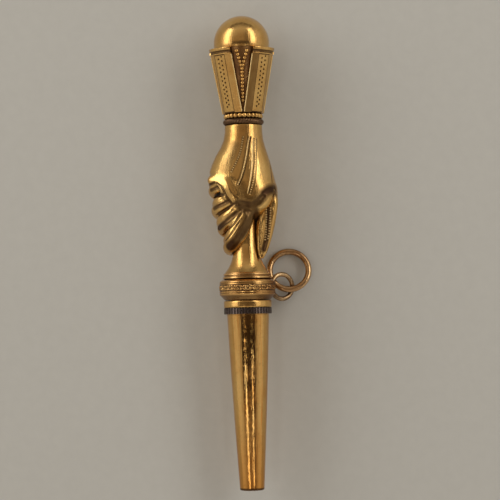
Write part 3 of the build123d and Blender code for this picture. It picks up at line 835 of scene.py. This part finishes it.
def make_band(settings):
    """Swivel band with turned lines and a scroll frieze cut round it."""
    low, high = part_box("swivel_band")
    foot, width = low.y / MM, (high.y - low.y) / MM
    first, last = BAND_FOOT[-1][0], BAND_TOP[0][0]
    frieze = [(first + (last - first) * row / FRIEZE_ROWS, FRIEZE_GROUND) for row in range(1, FRIEZE_ROWS)]
    outline = [(radius, foot + width * share) for share, radius in (*BAND_FOOT, *frieze, *BAND_TOP)]
    band = turned_ring(outline + [(BAND_BORE, foot + width), (BAND_BORE, foot)], BAND_SIDES)
    dirt_and_shade = []
    for vertex in band.data.vertices:
        share = (vertex.co.y - foot) / width
        radius = (vertex.co.x ** 2 + vertex.co.z ** 2) ** 0.5
        dark = max(0.0, min(1.0, (FOOT_DIRT_TOP - share) / FOOT_DIRT_RUN)) * FOOT_DIRT
        if any(start < share < end for start, end in DIRTY_GROOVES):
            dark = GROOVE_DIRT
        if first - FRIEZE_MARGIN < share < last + FRIEZE_MARGIN and radius > FRIEZE_INSIDE:
            across = (share - first) / (last - first)
            raised = engraving_height(atan2(vertex.co.z, vertex.co.x) + pi, across, settings.scroll_count)
            dark = GROUND_DIRT * (1.0 - raised)
            wider = (radius + settings.scroll_relief / MM * raised) / radius
            vertex.co.x *= wider
            vertex.co.z *= wider
        dirt_and_shade.append(dark)
    leave_dirt_and_shade(band, "POINT", dirt_and_shade)
    finish_piece(band, "engraved_band", "collar", "Red gilt", BAND_EDGE, ("swivel_band",))


def make_jump_ring(settings):
    """Jump ring of round wire, which rests on the paper at its far side."""
    low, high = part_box("jump_ring")
    centre = (low + high) / 2 / MM + Vector(RING_SHIFT)
    wire = settings.ring_wire / MM
    ring = wire_ring(centre, -radians(RING_TILT), settings.ring_radius / MM + wire, wire, RING_SIDES)
    finish_piece(ring, "wire_jump_ring", "chain_link", "Ring gilt", WIRE_EDGE, ("jump_ring",))


# Leaves of the cuff

# One leaf, centred on +Z, at its foot and at its top: station, radius of its corners and half angle
LEAF_FOOT, LEAF_TOP = (39.60, 2.14, 41.5), (46.35, 3.58, 24.0)
LEAF_FACET_SHARE = 0.48
LEAF_BACK = 0.62
# Steps up the leaf: station, and how far the mouldings stand out there
LEAF_STEPS = (
    (39.60, 0.0), (39.72, 0.02), (45.56, 0.0), (45.60, 0.07), (45.76, 0.07), (45.80, 0.0), (45.96, 0.0),
    (46.02, 0.12), (46.30, 0.12), (46.35, 0.06),
)
WEAR_STEPS, WEAR_ANGLE = 2, 14
DOT_STATIONS = (40.22, 45.40)
# Height of the punch over the facet, and how its distance from the middle grows up the leaf
DOT_LIFT, DOT_NEAR, DOT_GROWTH = 0.03, 0.55, 0.6
# A face lies in a dot when its corners are within this many radii
PIT_MARGIN = 1.03
# Dirt on the leaf: between the lips and along the lines between the facets; and painted shade on one side
# facet of each of the four leaves. That facet's turn is given in radians, and then as a share of the line's turn.
LIP_FOOT, LIP_GAP, LIP_DIRT = 45.62, (45.70, 46.03), 0.85
LEAF_LINE, LEAF_LINE_REACH = 0.90, 0.12
SIDE_TURN, FACET_TURN = -1.2, -0.6
LEAF_SHADES = (0.60, 0.30, 0.45, 0.0)
# Rims of a leaf: steps and order of their line, the corners that they follow, and where they end
RIM_STEPS, RIM_ORDER, RIM_CORNERS, RIM_TOP = 2, 2, (0, 3), 45.56


def leaf_at(station):
    """Share of the way up the leaf, radius of its corners and half angle at a station."""
    share = (station - LEAF_FOOT[0]) / (LEAF_TOP[0] - LEAF_FOOT[0])
    radius, half = (foot + (top - foot) * share for foot, top in zip(LEAF_FOOT[1:], LEAF_TOP[1:]))
    return share, radius, radians(half)


def leaf_turn(number):
    """The turn about the key's axis that takes a leaf from +Z to its place in the cuff."""
    return Matrix.Rotation(radians(90 * (number + 0.5)), 4, "Y")


def leaf_ring(station, spread=0.0):
    """Corners of the leaf's section at a station: three facets in front and the back behind them."""
    share, radius, half = leaf_at(station)
    radius += spread
    turns = (-half, -half * LEAF_FACET_SHARE, half * LEAF_FACET_SHARE, half)
    front = [(radius * sin(turn), station, radius * cos(turn)) for turn in turns]
    radius -= LEAF_BACK
    return front + [(radius * sin(turn), station, radius * cos(turn)) for turn in turns[::-1]]


def make_leaf_blank(wear):
    """A leaf of the cuff, drawn up step by step with its double lip."""
    leaf = outline_of(leaf_ring(*LEAF_STEPS[0]), "NGON")
    edit_all()
    for below, step in zip(LEAF_STEPS, LEAF_STEPS[1:]):
        before, after = leaf_ring(*below), leaf_ring(*step)
        bpy.ops.mesh.extrude_region_move(TRANSFORM_OT_translate={"value": (0, step[0] - below[0], 0)})
        bpy.ops.object.mode_set(mode="OBJECT")
        for vertex in leaf.data.vertices:
            if vertex.select:
                x, _, z = vertex.co
                vertex.co = min(zip(before, after), key=lambda pair: hypot(pair[0][0] - x, pair[0][2] - z))[1]
        bpy.ops.object.mode_set(mode="EDIT")
    close_up()
    apply_modifier(
        leaf, "BEVEL", "Worn edges", width=wear, segments=WEAR_STEPS, limit_method="ANGLE",
        angle_limit=radians(WEAR_ANGLE),
    )
    return leaf


def off_facet_line(corner):
    """How far a corner of the leaf lies from the nearer line between two facets."""
    half = leaf_at(corner.y)[2]
    radius = (corner.x ** 2 + corner.z ** 2) ** 0.5
    return abs(abs(atan2(corner.x, corner.z)) - half * LEAF_FACET_SHARE) * radius


def mark_leaf(leaf, centres, radius, shade):
    """Leave dirt in the pricked dots and between the two lips, and paint shade along one side of the leaf."""
    tree = tree_of(centres)
    side_turn = FACET_TURN * radians(LEAF_FOOT[2]) * LEAF_FACET_SHARE
    dirt_and_shade = [0.0] * len(leaf.data.loops)
    for face in leaf.data.polygons:
        corners = [leaf.data.vertices[n].co for n in face.vertices]
        pit, _, reach = tree.find(face.center)
        in_pit = reach < radius and all((corner - pit).length < radius * PIT_MARGIN for corner in corners)
        in_lip = all(LIP_GAP[0] < corner.y < LIP_GAP[1] for corner in corners)
        on_line = all(off_facet_line(corner) < LEAF_LINE_REACH for corner in corners)
        on_side = SIDE_TURN < atan2(face.normal.x, face.normal.z) < side_turn
        for loop, corner in zip(face.loop_indices, corners):
            if in_pit:
                dirt_and_shade[loop] = 1.0
            elif in_lip:
                dirt_and_shade[loop] = LIP_DIRT
            # On the side facet the mark is painted shade, as strong as the leaf's entry in LEAF_SHADES.
            elif corner.y < LIP_FOOT and (on_line or on_side):
                dirt_and_shade[loop] = LEAF_LINE if on_line else shade
    leave_dirt_and_shade(leaf, "CORNER", dirt_and_shade)


def make_cuff(settings):
    """Four leaves of the cuff, each pricked with two rows of dots on its middle facet."""
    leaf = make_leaf_blank(settings.leaf_wear / MM)
    radius = settings.dot_radius / MM
    pricks, centres = [], []
    for number in range(settings.dot_count):
        station = DOT_STATIONS[0] + (DOT_STATIONS[1] - DOT_STATIONS[0]) * number / (settings.dot_count - 1)
        share, leaf_radius, half = leaf_at(station)
        side = (1 if number % 2 else -1) * settings.dot_offset / MM * (DOT_NEAR + DOT_GROWTH * share)
        centres.append(Vector((side, station, leaf_radius * cos(half * LEAF_FACET_SHARE) + DOT_LIFT)))
        start_clean()
        bpy.ops.mesh.primitive_ico_sphere_add(subdivisions=1, radius=radius, location=centres[-1])
        pricks.append(bpy.context.object)
    joined(pricks)
    punch = settled()
    apply_modifier(leaf, "BOOLEAN", "Pricked dots", operation="DIFFERENCE", solver="EXACT", object=punch)
    bpy.data.objects.remove(punch)
    copies = []
    for _ in LEAF_SHADES[1:]:
        copies.append(leaf.copy())
        copies[-1].data = leaf.data.copy()
        bpy.context.scene.collection.objects.link(copies[-1])
    for number, (copy, shade) in enumerate(zip((*copies, leaf), LEAF_SHADES)):
        mark_leaf(copy, centres, radius, shade)
        copy.data.transform(leaf_turn(number))
        name, replaced = f"pricked_leaf_{number + 1}", (f"cuff_leaf_{number + 1}",)
        finish_piece(copy, name, "key", "Cuff gilt", LEAF_EDGE, replaced)
    make_leaf_rims(settings.rim_radius / MM)


def make_leaf_rims(radius):
    """Thin rims up both sides of each leaf, in the lighter gilt that paints highlights along the leaves' edges."""
    foot, top = leaf_ring(LEAF_FOOT[0] + radius), leaf_ring(RIM_TOP)
    lines = [[(*foot[corner], radius), (*top[corner], radius)] for corner in RIM_CORNERS]
    for number in range(len(LEAF_SHADES)):
        rims = joined([stroke(line, RIM_STEPS, RIM_ORDER) for line in lines])
        rims.data.transform(leaf_turn(number))
        finish_piece(rims, f"leaf_rims_{number + 1}", "key", "Bright points", WIRE_EDGE)


# Stage

# Each soft box: name, place, width, length and power in watts
SOFT_BOXES = (
    ("soft_box_left", (-262, 232, 128), 150, 400, 0.44),
    ("soft_box_right", (215, 232, 180), 105, 400, 0.31),
    ("strip_left", (-116, -75, 276), 44, 120, 0.036),
    ("strip_right", (98, -75, 284), 30, 120, 0.024),
)
FLOOR_MIDDLE = 25
PAPER_GRAIN, PAPER_SHOWN, PAPER_SHADE = (900.0, 3.0, 0.6), (0.3, 0.7), 0.97
PAPER_ROUGHNESS, PAPER_SHINE, PAPER_DEPTH = 0.9, 0.1, 0.02
# The room by the direction in which the metal sees it: the ceiling, the bar between the lamps, the
# foot of the room and the gap beside. Each range runs from where a place begins to where it is full,
# unless two more numbers say how strong it is at both ends.
CEILING = (0.40, 0.85)
BAR_SHIFT, BAR_SIDE, BAR_HEIGHT = 0.035, (0.07, 0.125, 1.0, 0.0), (0.66, 0.80)
FOOT_HEIGHT, FOOT_END = (0.08, 0.52, 0.85, 0.0), (0.6, 0.85)
BESIDE_START, BESIDE_END, BESIDE_HEIGHT = (0.14, 0.30), (0.50, 0.62, 0.5, 0.0), (0.4, 0.7)
SENSOR_WIDTH = 36.0
# In metres
NEAREST_SEEN, FARTHEST_SEEN = 0.01, 10.0


def make_floor(settings):
    """Sheet of plain matt paper under the key."""
    bpy.ops.mesh.primitive_plane_add(
        size=settings.floor_size, location=(0, FLOOR_MIDDLE * MM, CAD_BOX[0].z)
    )
    floor = settled()
    floor.name = floor.data.name = "paper_floor"
    tree, shader, place = new_finish("Grey paper")
    grain = noise(tree, place, *PAPER_GRAIN)
    darker = (*(PAPER_SHADE * part for part in settings.paper_colour), 1)
    shaded = mixed(tree, ranged(tree, grain, *PAPER_SHOWN), (*settings.paper_colour, 1), darker)
    tree.links.new(shaded, shader.inputs["Base Color"])
    shader.inputs["Roughness"].default_value = PAPER_ROUGHNESS
    shader.inputs["Specular IOR Level"].default_value = PAPER_SHINE
    bump_from(tree, shader, grain, PAPER_DEPTH)
    floor.data.materials.append(bpy.data.materials["Grey paper"])


def make_lamps(settings):
    """Soft boxes beside the hand and strips beside the pipe, all turned to the key's axis."""
    for name, place, width, run, power in SOFT_BOXES:
        bpy.ops.object.light_add(type="AREA", location=Vector(place) * MM)
        box = bpy.context.object
        box.name = name
        box.data.shape = "RECTANGLE"
        box.data.size = width * MM
        box.data.size_y = run * MM
        box.data.energy = power * settings.light_level
        box.data.color = settings.light_colour
        away = Vector((place[0], 0, place[2])).normalized()
        along = Vector((0, 1, 0))
        box.rotation_euler = Matrix((along.cross(away), along, away)).transposed().to_euler()


def make_room(settings):
    """Light of the room: walls, ceiling, and dark gaps between the lamps, at the foot and beside."""
    world = bpy.data.worlds.new("Room")
    world.use_nodes = True
    tree = world.node_tree
    sky = tree.nodes["Background"]
    split = tree.nodes.new("ShaderNodeSeparateXYZ")
    tree.links.new(tree.nodes.new("ShaderNodeTexCoord").outputs["Generated"], split.inputs["Vector"])
    x, y, z = split.outputs
    walls, ceiling, gap, backdrop = (
        (*getattr(settings, f"{part}_colour"), 1) for part in ("room", "ceiling", "gap", "backdrop")
    )
    upward = mixed(tree, ranged(tree, z, *CEILING), walls, ceiling)
    aside = reckoned(tree, "ABSOLUTE", reckoned(tree, "ADD", y, BAR_SHIFT), 0.0)
    bar = reckoned(tree, "MULTIPLY", ranged(tree, aside, *BAR_SIDE), ranged(tree, z, *BAR_HEIGHT))
    foot = reckoned(tree, "MULTIPLY", ranged(tree, z, *FOOT_HEIGHT), ranged(tree, y, *FOOT_END))
    across = reckoned(tree, "MULTIPLY", ranged(tree, x, *BESIDE_START), ranged(tree, x, *BESIDE_END))
    beside = reckoned(tree, "MULTIPLY", across, ranged(tree, z, *BESIDE_HEIGHT))
    dark = reckoned(tree, "MAXIMUM", reckoned(tree, "MAXIMUM", bar, foot), beside)
    seen = tree.nodes.new("ShaderNodeLightPath").outputs["Is Camera Ray"]
    shown = mixed(tree, seen, mixed(tree, dark, upward, gap), backdrop)
    tree.links.new(shown, sky.inputs["Color"])
    sky.inputs["Strength"].default_value = settings.room_level
    bpy.context.scene.world = world


def make_camera(settings):
    """Camera that sees the key as the photo does."""
    aimed = Vector(settings.view_centre)
    eye = Vector((aimed.x, settings.view_foot, settings.view_distance))
    bpy.ops.object.camera_add(location=eye)
    camera = bpy.context.object
    camera.name = "photo_camera"
    look = (eye - aimed).normalized()
    up = Vector((sin(settings.view_lean), cos(settings.view_lean), 0))
    right = up.cross(look).normalized()
    turned = Matrix((right, look.cross(right), look)).transposed().to_4x4()
    camera.matrix_world = Matrix.Translation(eye) @ turned
    camera.data.type = "PERSP"
    camera.data.sensor_width = SENSOR_WIDTH
    camera.data.lens = SENSOR_WIDTH * (eye - aimed).length / settings.view_width
    camera.data.clip_start = NEAREST_SEEN
    camera.data.clip_end = FARTHEST_SEEN
    camera.data.dof.use_dof = False
    bpy.context.scene.camera = camera


def make_stage(settings):
    """Floor, soft boxes, room light and camera."""
    start_clean()
    make_floor(settings)
    make_lamps(settings)
    make_room(settings)
    make_camera(settings)
    bpy.context.scene.view_settings.view_transform = "Standard"


# Settings


def length(name, description, default):
    """A length of the settings, given in millimetres and kept in metres."""
    return bpy.props.FloatProperty(
        name=name, description=description, default=default * MM, unit="LENGTH", precision=6
    )


def colour(name, description, default):
    """A colour of the settings."""
    return bpy.props.FloatVectorProperty(name=name, description=description, default=default, subtype="COLOR")


def count(name, description, default):
    """A number of pieces in the settings."""
    return bpy.props.IntProperty(name=name, description=description, default=default)


class StageSettings(bpy.types.PropertyGroup):
    """Sizes and levels of the stage."""

    floor_size: length("Floor size", "Side of the square of paper", 600)
    paper_colour: colour("Paper colour", "Colour of the paper", (0.61, 0.615, 0.595))
    light_level: bpy.props.FloatProperty(
        name="Light level", description="Times the power of each soft box", default=1.0
    )
    light_colour: colour("Light colour", "Colour of the soft boxes", (1.0, 0.97, 0.91))
    room_colour: colour("Room colour", "Colour of the room's walls", (0.60, 0.565, 0.51))
    ceiling_colour: colour("Ceiling colour", "Colour of the ceiling over the key", (0.32, 0.25, 0.18))
    gap_colour: colour(
        "Gap colour", "Colour of the dark gap between the lamps and of the room's foot", (0.03, 0.02, 0.015)
    )
    backdrop_colour: colour("Backdrop colour", "Colour seen beyond the paper", (0.47, 0.45, 0.41))
    room_level: bpy.props.FloatProperty(name="Room level", description="Strength of the room light", default=1.0)
    view_centre: bpy.props.FloatVectorProperty(
        name="View centre", description="Point in the middle of the picture", default=(0.37 * MM, 25.2 * MM, 0),
        subtype="TRANSLATION", unit="LENGTH",
    )
    view_foot: length("View foot", "Station on the key's axis below the camera", 16.0)
    view_distance: length("View distance", "Height of the camera over the key's axis", 210.0)
    view_lean: bpy.props.FloatProperty(
        name="View lean", description="Turn of the camera about its own line of sight", default=radians(1.4),
        subtype="ANGLE",
    )
    view_width: length("View width", "Width of the picture at the key's axis", 52.7)


class FinishSettings(bpy.types.PropertyGroup):
    """Colours of the metals."""

    gilt_colour: colour("Gilt", "Gilt where it is rubbed bright", (0.79, 0.50, 0.175))
    deep_colour: colour("Deep gilt", "Gilt in the clouds between the rubbed places", (0.56, 0.28, 0.07))
    # The tarnish colour is also the colour of the painted shade in corners, creases and valleys.
    tarnish_colour: colour("Tarnish", "Dirt in the recesses and grooves", (0.062, 0.027, 0.010))
    # Lighter than the gilt, as a painted highlight on the raised lines, beads, stitches and leaf rims.
    point_colour: colour("Glove points", "Raised lines and beads of the glove", (0.97, 0.72, 0.34))
    band_colour: colour("Band", "Reddish gilt of the swivel band", (0.84, 0.50, 0.18))
    ring_colour: colour("Rings", "Eye and jump ring", (0.76, 0.51, 0.26))
    dark_colour: colour("Corded ring", "Tarnished gilt of the corded ring", (0.22, 0.12, 0.06))
    steel_colour: colour("Steel", "Darkened steel of the winding pipe", (0.16, 0.15, 0.15))
    brass_colour: colour("Brass", "Turned brass of the inner pieces", (0.62, 0.46, 0.20))


class GloveSettings(bpy.types.PropertyGroup):
    """Sizes of the small work on the hand."""

    skin_grain: length("Skin grain", "Side of the cells that the hand's skin is drawn from", 0.085)
    line_radius: length("Line radius", "Half thickness of the raised lines on the back of the hand", 0.058)
    bead_pitch: length("Bead pitch", "Distance between the beads of the glove points", 0.25)
    bead_radius: length("Bead radius", "Radius of the beads of the glove points", 0.088)
    stitch_pitch: length("Stitch pitch", "Distance between the stitches of the thumb", 0.26)
    stitch_radius: length("Stitch radius", "Radius of the stitches of the thumb", 0.100)


class CollarSettings(bpy.types.PropertyGroup):
    """Scrolls cut round the swivel band, and the jump ring."""

    scroll_count: count("Scrolls", "Scrolls round the band, an even number", 18)
    ring_radius: length("Ring radius", "Radius of the opening of the jump ring", 1.735)
    ring_wire: length("Ring wire", "Half thickness of the jump ring's wire", 0.335)
    scroll_relief: length("Scroll relief", "Height of the scrolls over their ground", 0.070)


class CuffSettings(bpy.types.PropertyGroup):
    """Corded ring at the wrist and leaves of the cuff."""

    cord_strands: count("Strands", "Strands of the corded ring", 4)
    cord_turns: count("Turns", "Twists of the cord round the wrist", 40)
    cord_depth: bpy.props.FloatProperty(
        name="Cord depth", description="Depth between the strands, as a share of the cord's radius", default=0.30,
        subtype="FACTOR",
    )
    dot_count: count("Dots", "Pricked dots on each leaf", 24)
    dot_radius: length("Dot radius", "Radius of the punch that pricks the dots", 0.130)
    dot_offset: length("Dot offset", "Distance of the two rows of dots from the leaf's middle", 0.23)
    leaf_wear: length("Leaf wear", "Width of the worn edges of the leaves", 0.080)
    rim_radius: length("Rim radius", "Half thickness of the rims up the sides of the leaves", 0.060)


class WATCHKEY_OT_finishes(bpy.types.Operator):
    """Make the finishes and give them to the carried-over nodes"""

    bl_idname = "watchkey.finishes"
    bl_label = "Finishes"

    def execute(self, context):
        make_finishes(context.scene.watchkey_finishes)
        dress_nodes()
        return {"FINISHED"}


class WATCHKEY_OT_hand(bpy.types.Operator):
    """Model the gloved hand with its curled fingers"""

    bl_idname = "watchkey.hand"
    bl_label = "Gloved Hand"

    def execute(self, context):
        make_hand(context.scene.watchkey_glove)
        return {"FINISHED"}


class WATCHKEY_OT_thumb(bpy.types.Operator):
    """Model the thumb that lies along the rod"""

    bl_idname = "watchkey.thumb"
    bl_label = "Thumb"

    def execute(self, context):
        make_thumb()
        return {"FINISHED"}


class WATCHKEY_OT_cord_ring(bpy.types.Operator):
    """Lay the corded ring at the wrist"""

    bl_idname = "watchkey.cord_ring"
    bl_label = "Corded Wrist Ring"

    def execute(self, context):
        make_cord_ring(context.scene.watchkey_cuff)
        return {"FINISHED"}


class WATCHKEY_OT_band(bpy.types.Operator):
    """Turn and engrave the swivel band"""

    bl_idname = "watchkey.band"
    bl_label = "Engraved Band"

    def execute(self, context):
        make_band(context.scene.watchkey_collar)
        return {"FINISHED"}


class WATCHKEY_OT_jump_ring(bpy.types.Operator):
    """Bend the jump ring"""

    bl_idname = "watchkey.jump_ring"
    bl_label = "Jump Ring"

    def execute(self, context):
        make_jump_ring(context.scene.watchkey_collar)
        return {"FINISHED"}


class WATCHKEY_OT_cuff(bpy.types.Operator):
    """Draw the four leaves of the cuff and prick their dots"""

    bl_idname = "watchkey.cuff"
    bl_label = "Cuff"

    def execute(self, context):
        make_cuff(context.scene.watchkey_cuff)
        return {"FINISHED"}


class WATCHKEY_OT_glove_points(bpy.types.Operator):
    """Lay the raised lines and beads on the back of the glove"""

    bl_idname = "watchkey.glove_points"
    bl_label = "Glove Points"

    def execute(self, context):
        make_glove_points(context.scene.watchkey_glove)
        return {"FINISHED"}


class WATCHKEY_OT_stage(bpy.types.Operator):
    """Set up the paper, the soft boxes and the camera"""

    bl_idname = "watchkey.stage"
    bl_label = "Stage"

    def execute(self, context):
        make_stage(context.scene.watchkey_stage)
        return {"FINISHED"}


class WATCHKEY_PT_panel(bpy.types.Panel):
    """Lists the steps that make the watch key"""

    bl_idname = "WATCHKEY_PT_panel"
    bl_label = "Watch Key"
    bl_space_type = "VIEW_3D"
    bl_region_type = "UI"
    bl_category = "Watch Key"

    def draw(self, context):
        for step in STEPS:
            self.layout.operator(step.bl_idname)
        for name, group in SETTINGS:
            box = self.layout.box()
            box.label(text=group.__doc__)
            for entry in group.__annotations__:
                box.prop(getattr(context.scene, name), entry)


SETTINGS = (
    ("watchkey_finishes", FinishSettings),
    ("watchkey_glove", GloveSettings),
    ("watchkey_collar", CollarSettings),
    ("watchkey_cuff", CuffSettings),
    ("watchkey_stage", StageSettings),
)
STEPS = (
    WATCHKEY_OT_finishes, WATCHKEY_OT_hand, WATCHKEY_OT_thumb, WATCHKEY_OT_glove_points, WATCHKEY_OT_cord_ring,
    WATCHKEY_OT_band, WATCHKEY_OT_jump_ring, WATCHKEY_OT_cuff, WATCHKEY_OT_stage,
)


def register():
    for name, group in SETTINGS:
        bpy.utils.register_class(group)
        setattr(bpy.types.Scene, name, bpy.props.PointerProperty(type=group))
    for step in STEPS:
        bpy.utils.register_class(step)
    bpy.utils.register_class(WATCHKEY_PT_panel)


def unregister():
    bpy.utils.unregister_class(WATCHKEY_PT_panel)
    for step in reversed(STEPS):
        bpy.utils.unregister_class(step)
    for name, group in reversed(SETTINGS):
        delattr(bpy.types.Scene, name)
        bpy.utils.unregister_class(group)


def main():
    register()
    bpy.ops.watchkey.finishes()
    bpy.ops.watchkey.hand()
    bpy.ops.watchkey.thumb()
    bpy.ops.watchkey.glove_points()
    bpy.ops.watchkey.cord_ring()
    bpy.ops.watchkey.band()
    bpy.ops.watchkey.jump_ring()
    bpy.ops.watchkey.cuff()
    bpy.ops.watchkey.stage()


if __name__ == "__main__":
    main()
